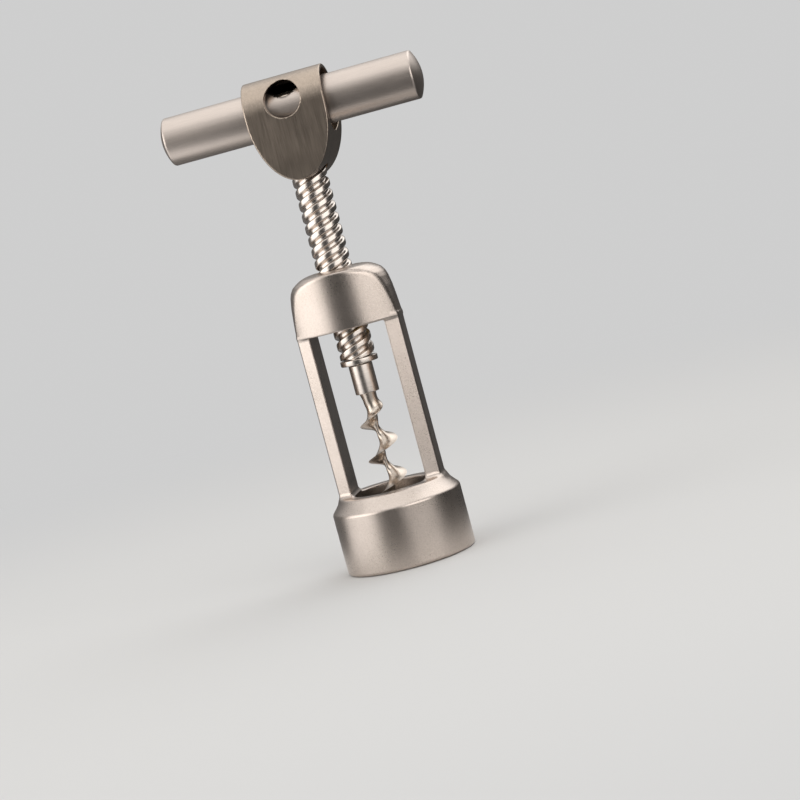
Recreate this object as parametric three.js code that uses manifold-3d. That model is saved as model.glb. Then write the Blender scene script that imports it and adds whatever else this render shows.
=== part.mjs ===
// A bell corkscrew: a T handle turns a three-start spindle through the bridge of a bell-footed frame.
// Millimetres. +Z runs up the spindle, the handle lies along X, the front looks along -Y, and z = 0 is
// the bell's flat rim. The spindle stands where the handle is part way down.
import * as THREE from "three";
import { mergeVertices } from "three/addons/utils/BufferGeometryUtils.js";
import Module from "manifold-3d";

const wasm = await Module();
wasm.setup();

// Gap between pieces that seat on or slide in each other, and how far a cut runs past the face it opens
const CLEARANCE = 0.3;
const OVERRUN = 1;

// Bell: skirt, sloping shoulder, mouth that takes the bottle's lip, and throat that the worm passes
const BELL_RADIUS = 19;
const BELL_SKIRT_HEIGHT = 18;
const BELL_SHOULDER_RISE = 4;
const BELL_SHOULDER_RADIUS = 15.7;
const BELL_SHOULDER_HOLLOW = 0.35;
const BELL_MOUTH_RADIUS = 15.7;
const BELL_MOUTH_DEPTH = 13;
const BELL_SEAT_RADIUS = 13.4;
const BELL_SEAT_HEIGHT = 4;
const BELL_THROAT_RADIUS = 11.5;
const BELL_RIM_FILLET = 1;
const BELL_SHOULDER_FILLET = 0.6;
const BELL_THROAT_FILLET = 0.5;

// Legs: two bars of a tapered section, thicker at the side that faces the spindle
const LEG_INNER_REACH = 11.2;
const LEG_OUTER_REACH = 15.3;
const LEG_INNER_DEPTH = 12.5;
const LEG_OUTER_DEPTH = 8;
const LEG_EDGE = 0.4;
const LEG_LENGTH = 47.4;
const LEG_FOOT_FILLET = 2.4;

// Bridge: barrel-shaped in plan, domed on top
const BRIDGE_WIDTH = 30.8;
const BRIDGE_HEIGHT = 17.6;
const BRIDGE_DEPTH = 20;
const BRIDGE_FACE_RADIUS = 22;

// Spindle and worm climb by the same lead in a turn, and the spindle's thread has three starts
const LEAD = 10.4;
const THREAD_STARTS = 3;
const THREAD_RADIUS = 5.22;
const THREAD_DEPTH = 1.1;

// Bush: the nut in the bridge that the spindle turns in
const BUSH_WALL = 1.5;
const BUSH_LENGTH = 13;

// Spindle: threaded from the stop ring up into the hub, then a plain journal that passes the handle bar's
// axis and ends in its cross bore
const SPINDLE_NECK_RADIUS = 3;
const SPINDLE_SOCKET_DEPTH = 10;
const SPINDLE_JOURNAL_RADIUS = 5.6;
const SPINDLE_DOME_RISE = 1.6;
const SPINDLE_TOP_RISE = 5;
const SPINDLE_THREAD_IN_HUB = 5;

// Stop ring, loose on the spindle's neck under the thread
const RING_RADIUS = 5.5;
const RING_THICKNESS = 1.6;
const RING_DROP = 9.1;

// Worm: shank with a spigot in the spindle's socket, and a twisted blade
const WORM_SHANK_RADIUS = 3.5;
const WORM_SHANK_LENGTH = 8.5;
const WORM_SHANK_EDGE = 0.3;
const WORM_SPIGOT_RADIUS = 1.6;
const WORM_SPIGOT_LENGTH = 9;
const WORM_NECK_RADIUS = 2.4;
const WORM_RADIUS = 5;
const WORM_BLADE_OVERLAP = 0.45;
const WORM_BLADE_WIDTH = 3.2;
const WORM_BLADE_LENGTH = 45.9;
const WORM_POINT_WIDTH = 0.5;
const WORM_RUNOUT = 12;
const WORM_TAPER = 9;

// Hub: a tube round the handle bar over a shield-shaped boss
const HUB_TUBE_RADIUS = 10.1;
const HUB_LENGTH = 23.5;
const HUB_SHIELD_START = 1;
const HUB_SHIELD_DROP = 19.4;
const HUB_EDGE = 0.6;
const HUB_COLLAR_BORE_RADIUS = 9;
const HUB_COLLAR_BORE_DEPTH = 3;
const HUB_WINDOW_RADIUS = 5.3;
const HUB_WINDOW_RISE = 2.9;

// Handle bar
const BAR_RADIUS = 7;
const BAR_LENGTH = 78;
const BAR_DOME_RISE = 1;
const BAR_EDGE = 0.9;

// How far the spindle has still to travel before the hub meets the bridge
const SPINDLE_TRAVEL_LEFT = 26.5;

// Facets
const ROUND_STEPS = 48;
const SMALL_ROUND_STEPS = 32;
const CORNER_STEPS = 3;
const THREAD_STEPS_PER_TURN = 14;
const WORM_STEPS_PER_TURN = 16;
const WORM_SECTION_STEPS = 10;

// Profile of one thread start round the spindle: share of a start, share of the thread's depth, and the
// flank that the point belongs to, -1 or 1, or 0 between the flanks
const THREAD_PROFILE_SHARES = [
  [0, 0, 0],
  [0.3, 0, 0],
  [0.4, 0.75, -1],
  [0.5, 1, -1],
  [0.64, 1, 0],
  [0.78, 1, 1],
  [0.88, 0.75, 1],
];

// How far round the axis the thread's crests stand at its base, as a share of a start, and the worm's
// cutting edge where it leaves the shank, as a share of a turn
const THREAD_PHASE_SHARE = 0.845;
const WORM_PHASE_SHARE = 0.42;

// How much narrower the worm's section is at its cutting edge, how far it leans to the blade's upper face,
// and how high the bar's end dome stands at half its radius
const WORM_NARROWING_SHARE = 0.5;
const WORM_LEAN_SHARE = 0.5;
const BAR_DOME_MIDDLE_SHARE = 0.75;

// Bridge dome, from the bottom: share of its height, then its half width and half depth as shares of
// half the bridge's width
const BRIDGE_DOME_SHARES = [
  [0, 1.02, 1.4],
  [0.12, 1.01, 1.15],
  [0.34, 1, 0.9],
  [0.53, 0.98, 0.82],
  [0.69, 0.948, 0.77],
  [0.77, 0.916, 0.755],
  [0.845, 0.857, 0.72],
  [0.9, 0.765, 0.69],
  [0.94, 0.68, 0.65],
  [0.96, 0.61, 0.53],
  [0.983, 0.49, 0.34],
  [1, 0.3, 0.2],
];

// Worm under the shank: share of the runout, and how far the section has gone from the neck's round to
// the blade's drop
const WORM_RUNOUT_SHARES = [
  [0, 0],
  [0.15, 0.12],
  [0.35, 0.35],
  [0.58, 0.62],
  [0.8, 0.9],
  [1, 1],
];

// Heights and the bush's radius, worked out from the sizes above
const BELL_HEIGHT = BELL_SKIRT_HEIGHT + BELL_SHOULDER_RISE;
const BRIDGE_BASE = BELL_HEIGHT + LEG_LENGTH;
const BRIDGE_TOP = BRIDGE_BASE + BRIDGE_HEIGHT;
const BUSH_RADIUS = THREAD_RADIUS + CLEARANCE + BUSH_WALL;
const BUSH_TOP = BRIDGE_BASE + BUSH_LENGTH;
const RING_TOP = BRIDGE_BASE - RING_DROP;
const RING_BASE = RING_TOP - RING_THICKNESS;
const SHANK_TOP = RING_BASE - CLEARANCE;
const SHANK_BASE = SHANK_TOP - WORM_SHANK_LENGTH;
const WORM_POINT = SHANK_BASE - WORM_BLADE_LENGTH;
const THREAD_BASE = RING_TOP + CLEARANCE;
const HUB_BASE = BRIDGE_TOP + SPINDLE_TRAVEL_LEFT;
const BAR_HEIGHT = HUB_BASE + HUB_SHIELD_START + HUB_SHIELD_DROP;
const THREAD_TOP = HUB_BASE + SPINDLE_THREAD_IN_HUB;
const SPINDLE_TOP = BAR_HEIGHT + SPINDLE_TOP_RISE;

const SATIN_NICKEL = new THREE.MeshStandardMaterial({ color: 0xb5aba0, roughness: 0.42, metalness: 1 });
const BRUSHED_NICKEL = new THREE.MeshStandardMaterial({ color: 0xa39a8f, roughness: 0.35, metalness: 1 });
const POLISHED_NICKEL = new THREE.MeshStandardMaterial({ color: 0xc9bfb4, roughness: 0.15, metalness: 1 });
const BUSH_BRASS = new THREE.MeshStandardMaterial({ color: 0xa58a55, roughness: 0.4, metalness: 1 });

// A closed geometry as a solid that can be joined and cut
function solidOf(geometry) {
  const bare = geometry.clone();
  bare.deleteAttribute("normal");
  bare.deleteAttribute("uv");
  const merged = mergeVertices(bare);
  const mesh = new wasm.Mesh({
    numProp: 3,
    vertProperties: new Float32Array(merged.attributes.position.array),
    triVerts: new Uint32Array(merged.index.array),
  });
  return new wasm.Manifold(mesh);
}

// A solid back as a geometry, with flat faces
function geometryOf(solid) {
  const mesh = solid.getMesh();
  const geometry = new THREE.BufferGeometry();
  geometry.setAttribute("position", new THREE.BufferAttribute(mesh.vertProperties, 3));
  geometry.setIndex(new THREE.BufferAttribute(mesh.triVerts, 1));
  const flat = geometry.toNonIndexed();
  flat.computeVertexNormals();
  return flat;
}

// The outline of the given corners, each [x, y, radius], with an arc where the radius isn't zero
function roundedOutline(corners) {
  const points = [];
  corners.forEach(([x, y, radius], index) => {
    const corner = new THREE.Vector2(x, y);
    if (radius === 0) {
      points.push(corner);
      return;
    }
    const [beforeX, beforeY] = corners.at(index - 1);
    const [afterX, afterY] = corners[(index + 1) % corners.length];
    const before = new THREE.Vector2(beforeX, beforeY).sub(corner);
    const after = new THREE.Vector2(afterX, afterY).sub(corner);
    const room = Math.min(before.length(), after.length()) / 2;
    before.normalize();
    after.normalize();
    const half = Math.acos(THREE.MathUtils.clamp(before.dot(after), -1, 1)) / 2;
    const reach = Math.min(radius / Math.tan(half), room);
    const start = corner.clone().addScaledVector(before, reach);
    const end = corner.clone().addScaledVector(after, reach);
    const curve = new THREE.QuadraticBezierCurve(start, corner, end);
    points.push(...curve.getPoints(CORNER_STEPS));
  });
  return points;
}

// A closed profile of [radius, height, fillet] corners, counter-clockwise, turned about Z
function turned(corners, steps = ROUND_STEPS) {
  const points = roundedOutline(corners);
  points.push(points[0].clone());
  return new THREE.LatheGeometry(points, steps).rotateX(Math.PI / 2);
}

// An upright round bar between two heights
function uprightRound(radius, base, top, steps = SMALL_ROUND_STEPS) {
  const bar = new THREE.CylinderGeometry(radius, radius, top - base, steps);
  return bar.rotateX(Math.PI / 2).translate(0, 0, (base + top) / 2);
}

// A closed skin over rings of equally many points, the first one lowest, with a fan over each end
function lofted(rings) {
  const count = rings[0].length;
  const last = rings.length - 1;
  const points = rings.flat();
  const lowCentre = points.push(centreOf(rings[0])) - 1;
  const highCentre = points.push(centreOf(rings[last])) - 1;
  const faces = [];
  for (let i = 0; i < count; i += 1) {
    const next = (i + 1) % count;
    faces.push(lowCentre, next, i);
    faces.push(highCentre, last * count + i, last * count + next);
    for (let ring = 0; ring < last; ring += 1) {
      const low = ring * count;
      const high = low + count;
      faces.push(low + i, low + next, high + i);
      faces.push(low + next, high + next, high + i);
    }
  }
  return new THREE.BufferGeometry().setFromPoints(points).setIndex(faces);
}

function centreOf(ring) {
  const sum = new THREE.Vector3();
  ring.forEach((point) => sum.add(point));
  return sum.divideScalar(ring.length);
}

// An outline in the XY plane, raised between two heights
function upright(outline, base, top) {
  const settings = { depth: top - base, bevelEnabled: false };
  return new THREE.ExtrudeGeometry(new THREE.Shape(outline), settings).translate(0, 0, base);
}

// Threaded core: the profile's starts round the axis, twisted by one turn in each lead
function threaded(radius, depth, widening, base, top) {
  const steps = Math.ceil(((top - base) / LEAD) * THREAD_STEPS_PER_TURN);
  const rings = [];
  for (let step = 0; step <= steps; step += 1) {
    const height = base + ((top - base) * step) / steps;
    const turn = (height - THREAD_BASE) / LEAD + THREAD_PHASE_SHARE / THREAD_STARTS;
    rings.push(threadSection(radius, depth, widening, turn * 2 * Math.PI, height));
  }
  return lofted(rings);
}

// One level section of the thread; widening is how far each flank moves out along the axis
function threadSection(radius, depth, widening, angle, height) {
  const ring = [];
  for (let start = 0; start < THREAD_STARTS; start += 1) {
    THREAD_PROFILE_SHARES.forEach(([roundShare, depthShare, side]) => {
      const reach = radius - depth * (1 - depthShare);
      const shift = (side * widening * 2 * Math.PI) / LEAD;
      const around = angle + (2 * Math.PI * (start + roundShare)) / THREAD_STARTS + shift;
      ring.push(new THREE.Vector3(reach * Math.cos(around), reach * Math.sin(around), height));
    });
  }
  return ring;
}

function bell() {
  const shoulderMiddle = (BELL_RADIUS + BELL_SHOULDER_RADIUS) / 2 - BELL_SHOULDER_HOLLOW;
  const shoulderHeight = (BELL_SKIRT_HEIGHT + BELL_HEIGHT) / 2 - BELL_SHOULDER_HOLLOW;
  return solidOf(
    turned([
      [BELL_MOUTH_RADIUS, 0, BELL_THROAT_FILLET],
      [BELL_RADIUS, 0, BELL_RIM_FILLET],
      [BELL_RADIUS, BELL_SKIRT_HEIGHT, BELL_SHOULDER_FILLET],
      [shoulderMiddle, shoulderHeight, BELL_SHOULDER_RISE],
      [BELL_SHOULDER_RADIUS, BELL_HEIGHT, BELL_SHOULDER_FILLET],
      [BELL_THROAT_RADIUS, BELL_HEIGHT, BELL_THROAT_FILLET],
      [BELL_THROAT_RADIUS, BELL_MOUTH_DEPTH + BELL_SEAT_HEIGHT, 0],
      [BELL_SEAT_RADIUS, BELL_MOUTH_DEPTH, 0],
      [BELL_MOUTH_RADIUS, BELL_MOUTH_DEPTH, 0],
    ]),
  );
}

// A leg's level section, grown to the front and back
function legSection(side, growth, height) {
  const innerHalf = LEG_INNER_DEPTH / 2 + growth;
  const outerHalf = LEG_OUTER_DEPTH / 2 + growth;
  const outline = roundedOutline([
    [LEG_INNER_REACH, -innerHalf, LEG_EDGE],
    [LEG_OUTER_REACH, -outerHalf, LEG_EDGE],
    [LEG_OUTER_REACH, outerHalf, LEG_EDGE],
    [LEG_INNER_REACH, innerHalf, LEG_EDGE],
  ]);
  const ring = outline.map((point) => new THREE.Vector3(side * point.x, point.y, height));
  return side > 0 ? ring : ring.reverse();
}

// A leg from inside the bell's shoulder, with a hollow fillet at its foot, to inside the bridge
function leg(side) {
  const rings = [legSection(side, LEG_FOOT_FILLET, BELL_SKIRT_HEIGHT)];
  for (let step = 0; step <= CORNER_STEPS; step += 1) {
    const angle = (step / CORNER_STEPS) * (Math.PI / 2);
    const growth = LEG_FOOT_FILLET * (1 - Math.sin(angle));
    const rise = LEG_FOOT_FILLET * (1 - Math.cos(angle));
    rings.push(legSection(side, growth, BELL_HEIGHT + rise));
  }
  rings.push(legSection(side, 0, BRIDGE_BASE + OVERRUN));
  const reach = Math.hypot(LEG_OUTER_REACH, LEG_OUTER_DEPTH / 2);
  const limit = uprightRound(reach, BELL_MOUTH_DEPTH, BRIDGE_TOP, ROUND_STEPS);
  return solidOf(lofted(rings)).intersect(solidOf(limit));
}

// The bridge seen from above: two bulging faces between flat ends
function bridgePlan() {
  const half = BRIDGE_WIDTH / 2;
  const centre = BRIDGE_FACE_RADIUS - BRIDGE_DEPTH / 2;
  const sweep = Math.asin(half / BRIDGE_FACE_RADIUS);
  const plan = new THREE.Shape();
  plan.absarc(0, centre, BRIDGE_FACE_RADIUS, -Math.PI / 2 - sweep, -Math.PI / 2 + sweep, false);
  plan.absarc(0, -centre, BRIDGE_FACE_RADIUS, Math.PI / 2 - sweep, Math.PI / 2 + sweep, false);
  return plan.getPoints(ROUND_STEPS / 3);
}

function bridgeDome() {
  const half = BRIDGE_WIDTH / 2;
  const rings = BRIDGE_DOME_SHARES.map(([heightShare, widthShare, depthShare]) => {
    const ring = [];
    for (let step = 0; step < ROUND_STEPS; step += 1) {
      const angle = (step / ROUND_STEPS) * 2 * Math.PI;
      const x = half * widthShare * Math.cos(angle);
      const y = half * depthShare * Math.sin(angle);
      ring.push(new THREE.Vector3(x, y, BRIDGE_BASE + BRIDGE_HEIGHT * heightShare));
    }
    return ring;
  });
  return solidOf(lofted(rings));
}

function bridge() {
  const barrel = upright(bridgePlan(), BRIDGE_BASE - OVERRUN, BRIDGE_TOP + OVERRUN);
  return solidOf(barrel).intersect(bridgeDome());
}

// Bell, legs and bridge are one casting, bored for the bush from below and for the spindle above it
function bellFrame() {
  const bushHole = uprightRound(BUSH_RADIUS + CLEARANCE, BRIDGE_BASE - OVERRUN, BUSH_TOP + CLEARANCE);
  const spindleHole = uprightRound(THREAD_RADIUS + CLEARANCE, BRIDGE_BASE, BRIDGE_TOP + OVERRUN);
  const throat = uprightRound(BELL_THROAT_RADIUS, BELL_SKIRT_HEIGHT - OVERRUN, BELL_HEIGHT, ROUND_STEPS);
  const legs = leg(1).add(leg(-1)).subtract(solidOf(throat));
  const casting = bell().add(legs).add(bridge());
  return geometryOf(casting.subtract(solidOf(bushHole)).subtract(solidOf(spindleHole)));
}

function threadBush() {
  const body = solidOf(uprightRound(BUSH_RADIUS, BRIDGE_BASE, BUSH_TOP));
  const core = threaded(
    THREAD_RADIUS + CLEARANCE,
    THREAD_DEPTH,
    CLEARANCE,
    BRIDGE_BASE - OVERRUN,
    BUSH_TOP + OVERRUN,
  );
  return geometryOf(body.subtract(solidOf(core)));
}

function stopRing() {
  const bore = SPINDLE_NECK_RADIUS + CLEARANCE;
  return turned(
    [
      [bore, RING_BASE, 0],
      [RING_RADIUS, RING_BASE, CLEARANCE],
      [RING_RADIUS, RING_TOP, CLEARANCE],
      [bore, RING_TOP, 0],
    ],
    SMALL_ROUND_STEPS,
  );
}

// The journal above the thread ends in a low dome
function spindleJournal() {
  const dome = [];
  for (let step = 0; step <= CORNER_STEPS; step += 1) {
    const angle = (step / CORNER_STEPS) * (Math.PI / 2);
    const reach = SPINDLE_JOURNAL_RADIUS * Math.cos(angle);
    const rise = SPINDLE_DOME_RISE * Math.sin(angle);
    dome.push(new THREE.Vector2(reach, SPINDLE_TOP - SPINDLE_DOME_RISE + rise));
  }
  const profile = [
    new THREE.Vector2(0, THREAD_TOP - OVERRUN),
    new THREE.Vector2(SPINDLE_JOURNAL_RADIUS, THREAD_TOP - OVERRUN),
    ...dome.slice(0, CORNER_STEPS),
    new THREE.Vector2(0, SPINDLE_TOP),
  ];
  return new THREE.LatheGeometry(profile, SMALL_ROUND_STEPS).rotateX(Math.PI / 2);
}

function spindle() {
  const thread = solidOf(threaded(THREAD_RADIUS, THREAD_DEPTH, 0, THREAD_BASE, THREAD_TOP));
  const neck = solidOf(uprightRound(SPINDLE_NECK_RADIUS, RING_BASE, THREAD_BASE + OVERRUN));
  const socketRadius = WORM_SPIGOT_RADIUS + CLEARANCE;
  const socket = uprightRound(socketRadius, RING_BASE - OVERRUN, RING_BASE + SPINDLE_SOCKET_DEPTH);
  return geometryOf(thread.add(solidOf(spindleJournal())).add(neck).subtract(solidOf(socket)));
}

// Value of a [share, value] table at a share, on straight lines between its rows
function tableAt(table, share) {
  const above = table.findIndex(([rowShare]) => rowShare >= share);
  if (above <= 0) return above < 0 ? table.at(-1)[1] : table[0][1];
  const [lowShare, low] = table[above - 1];
  const [highShare, high] = table[above];
  return THREE.MathUtils.mapLinear(share, lowShare, highShare, low, high);
}

// One level section of the worm: a lopsided drop that reaches from just past the axis out to the cutting
// edge, and is round and central where the blade leaves the shank
function wormSection(height) {
  const blade = tableAt(WORM_RUNOUT_SHARES, (SHANK_BASE - height) / WORM_RUNOUT);
  const point = THREE.MathUtils.clamp((height - WORM_POINT) / WORM_TAPER, 0, 1);
  const reach = THREE.MathUtils.lerp(WORM_NECK_RADIUS, WORM_RADIUS, blade);
  const overlap = THREE.MathUtils.lerp(WORM_NECK_RADIUS, WORM_BLADE_OVERLAP, blade);
  const fullWidth = THREE.MathUtils.lerp(2 * WORM_NECK_RADIUS, WORM_BLADE_WIDTH, blade);
  const centre = (reach - overlap) / 2;
  const halfLength = THREE.MathUtils.lerp(WORM_POINT_WIDTH / 2, (reach + overlap) / 2, point);
  const halfWidth = THREE.MathUtils.lerp(WORM_POINT_WIDTH / 2, fullWidth / 2, point);
  const turn = (height - SHANK_BASE) / LEAD + WORM_PHASE_SHARE;
  const axis = new THREE.Vector3(0, 0, 1);
  const ring = [];
  for (let step = 0; step < WORM_SECTION_STEPS; step += 1) {
    const angle = (step / WORM_SECTION_STEPS) * 2 * Math.PI;
    const outward = Math.cos(angle);
    const sideways = Math.sin(angle);
    const lean = blade * WORM_LEAN_SHARE * sideways * sideways;
    const narrowing = 1 - (blade * WORM_NARROWING_SHARE * (1 + outward)) / 2;
    const x = centre + halfLength * outward;
    const y = halfWidth * (sideways - lean) * narrowing;
    ring.push(new THREE.Vector3(x, y, height).applyAxisAngle(axis, turn * 2 * Math.PI));
  }
  return ring;
}

function worm() {
  const rings = [];
  const length = WORM_BLADE_LENGTH + OVERRUN;
  const steps = Math.ceil((length / LEAD) * WORM_STEPS_PER_TURN);
  for (let step = 0; step <= steps; step += 1) {
    rings.push(wormSection(WORM_POINT + (length * step) / steps));
  }
  const shank = turned(
    [
      [0, SHANK_BASE, 0],
      [WORM_SHANK_RADIUS, SHANK_BASE, WORM_SHANK_EDGE],
      [WORM_SHANK_RADIUS, SHANK_TOP, 0],
      [WORM_SPIGOT_RADIUS, SHANK_TOP, 0],
      [WORM_SPIGOT_RADIUS, SHANK_TOP + WORM_SPIGOT_LENGTH, 0],
      [0, SHANK_TOP + WORM_SPIGOT_LENGTH, 0],
    ],
    SMALL_ROUND_STEPS,
  );
  return geometryOf(solidOf(lofted(rings)).add(solidOf(shank)));
}

// A round bar along X with its ends' edges filleted
function levelRound(radius, length, edge) {
  const half = length / 2;
  const profile = turned([
    [0, -half, 0],
    [radius, -half, edge],
    [radius, half, edge],
    [0, half, 0],
  ]);
  return solidOf(profile.rotateY(Math.PI / 2).translate(0, 0, BAR_HEIGHT));
}

// The boss under the tube: a half ellipse seen from the front, with its front and back edges eased
function hubShield() {
  const half = HUB_LENGTH / 2;
  const outline = new THREE.Shape();
  outline.moveTo(half, 0);
  outline.lineTo(-half, 0);
  outline.lineTo(-half, -HUB_SHIELD_START);
  outline.absellipse(0, -HUB_SHIELD_START, half, HUB_SHIELD_DROP, Math.PI, 2 * Math.PI, false);
  outline.closePath();
  const shield = new THREE.ExtrudeGeometry(outline, {
    depth: 2 * (HUB_TUBE_RADIUS - HUB_EDGE),
    bevelThickness: HUB_EDGE,
    bevelSize: HUB_EDGE,
    bevelOffset: -HUB_EDGE,
    bevelSegments: CORNER_STEPS - 1,
    curveSegments: SMALL_ROUND_STEPS,
  });
  shield.translate(0, 0, -(HUB_TUBE_RADIUS - HUB_EDGE)).rotateX(Math.PI / 2);
  return solidOf(shield.translate(0, 0, BAR_HEIGHT));
}

function hub() {
  const boreLength = HUB_LENGTH + 2 * OVERRUN;
  const collarLength = 2 * (HUB_COLLAR_BORE_DEPTH + OVERRUN);
  const window = new THREE.CylinderGeometry(
    HUB_WINDOW_RADIUS,
    HUB_WINDOW_RADIUS,
    HUB_TUBE_RADIUS + OVERRUN,
    SMALL_ROUND_STEPS,
  );
  window.translate(0, -(HUB_TUBE_RADIUS + OVERRUN) / 2, BAR_HEIGHT + HUB_WINDOW_RISE);
  const journalBore = uprightRound(SPINDLE_JOURNAL_RADIUS + CLEARANCE, HUB_BASE - OVERRUN, BAR_HEIGHT);
  let solid = levelRound(HUB_TUBE_RADIUS, HUB_LENGTH, HUB_EDGE).add(hubShield());
  solid = solid.subtract(levelRound(BAR_RADIUS + CLEARANCE, boreLength, 0));
  [-1, 1].forEach((side) => {
    const collar = levelRound(HUB_COLLAR_BORE_RADIUS, collarLength, 0);
    solid = solid.subtract(collar.translate([(side * (HUB_LENGTH + 2 * OVERRUN)) / 2, 0, 0]));
  });
  [window, journalBore].forEach((cut) => {
    solid = solid.subtract(solidOf(cut));
  });
  return geometryOf(solid);
}

// The handle bar has low domed ends and a cross bore for the spindle's journal
function handleBar() {
  const flatHalf = BAR_LENGTH / 2 - BAR_DOME_RISE;
  const profile = turned([
    [0, -flatHalf - BAR_DOME_RISE, 0],
    [BAR_RADIUS / 2, -flatHalf - BAR_DOME_RISE * BAR_DOME_MIDDLE_SHARE, 0],
    [BAR_RADIUS, -flatHalf, BAR_EDGE],
    [BAR_RADIUS, flatHalf, BAR_EDGE],
    [BAR_RADIUS / 2, flatHalf + BAR_DOME_RISE * BAR_DOME_MIDDLE_SHARE, 0],
    [0, flatHalf + BAR_DOME_RISE, 0],
  ]);
  const bar = solidOf(profile.rotateY(Math.PI / 2).translate(0, 0, BAR_HEIGHT));
  const crossBore = uprightRound(
    SPINDLE_JOURNAL_RADIUS + CLEARANCE,
    BAR_HEIGHT - BAR_RADIUS - OVERRUN,
    BAR_HEIGHT + BAR_RADIUS + OVERRUN,
  );
  return geometryOf(bar.subtract(solidOf(crossBore)));
}

function piece(name, geometry, material) {
  const mesh = new THREE.Mesh(geometry, material);
  mesh.name = name;
  return mesh;
}

const frame = new THREE.Group();
frame.add(piece("bell_frame", bellFrame(), SATIN_NICKEL));
frame.add(piece("thread_bush", threadBush(), BUSH_BRASS));

const screw = new THREE.Group();
screw.add(piece("spindle", spindle(), POLISHED_NICKEL));
screw.add(piece("worm", worm(), POLISHED_NICKEL));
screw.add(piece("hub", hub(), BRUSHED_NICKEL));
screw.add(piece("handle_bar", handleBar(), SATIN_NICKEL));

const corkscrew = new THREE.Group();
corkscrew.add(frame);
corkscrew.add(piece("stop_ring", stopRing(), POLISHED_NICKEL));
corkscrew.add(screw);

export default corkscrew;
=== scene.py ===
import math

import bmesh
import bpy
import numpy as np
from mathutils import Matrix, Vector


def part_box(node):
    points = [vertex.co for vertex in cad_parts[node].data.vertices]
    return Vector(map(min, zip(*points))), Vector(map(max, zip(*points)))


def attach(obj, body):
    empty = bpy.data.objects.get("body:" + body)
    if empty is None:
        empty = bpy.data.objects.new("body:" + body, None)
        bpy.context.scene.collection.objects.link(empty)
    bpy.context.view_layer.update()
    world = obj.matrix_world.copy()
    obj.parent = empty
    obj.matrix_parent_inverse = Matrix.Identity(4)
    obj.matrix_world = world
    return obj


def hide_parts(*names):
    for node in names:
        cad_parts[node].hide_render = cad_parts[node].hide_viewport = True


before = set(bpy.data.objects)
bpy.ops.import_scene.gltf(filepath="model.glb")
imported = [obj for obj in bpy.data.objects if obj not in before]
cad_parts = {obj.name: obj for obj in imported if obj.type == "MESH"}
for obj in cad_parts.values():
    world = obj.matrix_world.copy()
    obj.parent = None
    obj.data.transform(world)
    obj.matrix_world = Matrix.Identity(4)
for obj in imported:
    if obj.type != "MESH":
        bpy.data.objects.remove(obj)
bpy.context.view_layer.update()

bl_info = {
    "name": "Bell corkscrew",
    "version": (1, 0, 0),
    "blender": (4, 5, 0),
    "location": "View3D > Sidebar > Corkscrew",
    "description": "Finished pieces of a bell corkscrew, made round its packed solids",
    "category": "Object",
}

MM = 0.001
TURN = 2 * math.pi

# Gap between pieces that seat on or run in each other, as the solids have it
CLEARANCE = 0.3 * MM

# Heights that the solids give: the bridge's underside, the hub's lowest point, the bar's axis, the
# stop ring's two faces and the worm's point
BRIDGE_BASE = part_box("thread_bush")[0].z
HUB_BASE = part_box("hub")[0].z
BAR_AXIS = (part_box("handle_bar")[0].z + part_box("handle_bar")[1].z) / 2
RING_BASE, RING_TOP = (corner.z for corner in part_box("stop_ring"))
WORM_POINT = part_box("worm")[0].z


def setting(kind, **more):
    """A function that gives a property of that kind for a name, a description and a default."""
    return lambda name, description, default: kind(
        name=name, description=description, default=default, **more
    )


length = setting(bpy.props.FloatProperty, unit="LENGTH", precision=5)
share = setting(bpy.props.FloatProperty, subtype="FACTOR", min=0, max=1)
tilt = setting(bpy.props.FloatProperty, subtype="ANGLE")
ratio = setting(bpy.props.FloatProperty)
whole = setting(bpy.props.IntProperty)
colour = setting(bpy.props.FloatVectorProperty, subtype="COLOR", size=3, min=0, max=1)


# ---- Sizes and colours ----

# Bridge: share of its height, and half its width and depth there as shares of half the width
BRIDGE_SHARES = [
    (0, 1.02, 1.4), (0.12, 1.01, 1.15), (0.34, 1, 0.9), (0.53, 0.98, 0.82), (0.69, 0.948, 0.77),
    (0.77, 0.916, 0.755), (0.845, 0.857, 0.72), (0.9, 0.765, 0.69), (0.94, 0.68, 0.65),
    (0.96, 0.61, 0.53), (0.983, 0.49, 0.34), (1, 0.3, 0.2),
]

# Casting: the shoulder's hollow, the radii of small edges, the seat of the bush in the bridge, and
# how far what is joined or cut runs past a face
SHOULDER_HOLLOW = 0.1 * MM
SHOULDER_EDGE = 0.35 * MM
UPPER_RIM_EDGE = 0.4 * MM
LOWER_RIM_EDGE = 1 * MM
BRIDGE_TOP_EDGE = 0.5 * MM
BRIDGE_FILLET = 0.5 * MM
CAVITY_EDGE = 0.4 * MM
BUSH_SEAT_EDGE = 0.25 * MM
BUSH_SEAT_WALL = 1.8 * MM
BUSH_SEAT_LENGTH = 13.3 * MM
OVERRUN = 1 * MM
BUSH_SEAT_OVERRUN = 5 * MM

# Spacing of the grids from which these are meshed
CASTING_CELL = 0.42 * MM
HUB_CELL = 0.3 * MM
BAR_CELL = 0.35 * MM

# Handle: radii of the edges at the openings
HUB_OPENING_EDGE = 0.18 * MM
CROSS_BORE_EDGE = 0.2 * MM

# Screw: bore, overlap and edge of the neck, edges of the ring and the shank, the worm's spigot in
# the spindle, and the points on the journal's domed end
NECK_BORE_RADIUS = 1.9 * MM
NECK_OVERLAP = 0.05 * MM
NECK_EDGE = 0.2 * MM
RING_EDGE = 0.35 * MM
RING_BORE_EDGE = 0.15 * MM
SHANK_EDGE = 0.35 * MM
SHANK_TOP_EDGE = 0.3 * MM
SPIGOT_RADIUS = 1.6 * MM
SPIGOT_LENGTH = 9 * MM
DOME_POINTS = 16


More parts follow.
